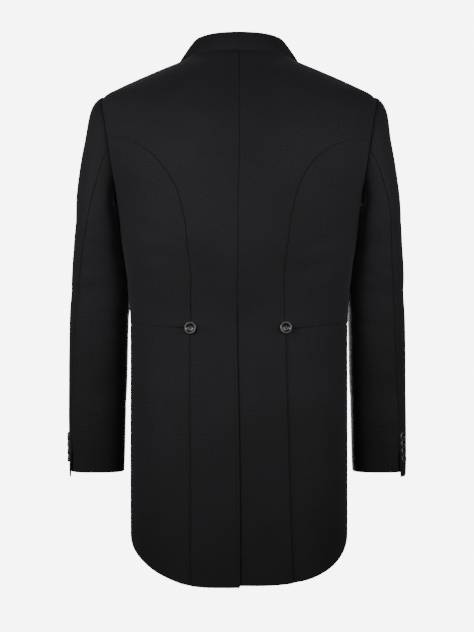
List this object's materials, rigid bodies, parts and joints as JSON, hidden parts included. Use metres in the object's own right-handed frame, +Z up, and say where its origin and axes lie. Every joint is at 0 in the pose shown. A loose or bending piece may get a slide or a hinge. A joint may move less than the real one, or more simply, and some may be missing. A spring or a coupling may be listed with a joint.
{
  "type": "morning coat",
  "caption": "Black wool morning coat, filled out as worn: peak lapels, buttoned front, cutaway skirts, side pleats under waist buttons, open centre back vent and buttoned cuffs.",
  "frame": {"origin": "middle of the wearer's neck base, level with the shoulder line at the neck, where the wearer holds the coat up", "axes": "+Z up from the hem to the collar, +Y towards the back of the coat, +X towards the wearer's left sleeve"},
  "size_m": [0.5849, 0.2735, 0.9163],
  "materials": {
    "wool": "matte fine wool with a soft nap",
    "horn": "satin polished dark horn"
  },
  "bodies": {
    "root": {"back_left": "wool", "back_right": "wool", "side_body_left": "wool", "side_body_right": "wool", "forepart_left": "wool", "forepart_right": "wool", "skirt_left": "wool", "skirt_right": "wool", "top_sleeve_left": "wool", "top_sleeve_right": "wool", "under_sleeve_left": "wool", "under_sleeve_right": "wool", "collar": "wool", "lapel_left": "wool", "lapel_right": "wool", "waist_button_left": "horn", "waist_button_right": "horn", "front_button": "horn", "cuff_button_left_1": "horn", "cuff_button_left_2": "horn", "cuff_button_left_3": "horn", "cuff_button_left_4": "horn", "cuff_button_right_1": "horn", "cuff_button_right_2": "horn", "cuff_button_right_3": "horn", "cuff_button_right_4": "horn"}
  },
  "joints": []
}
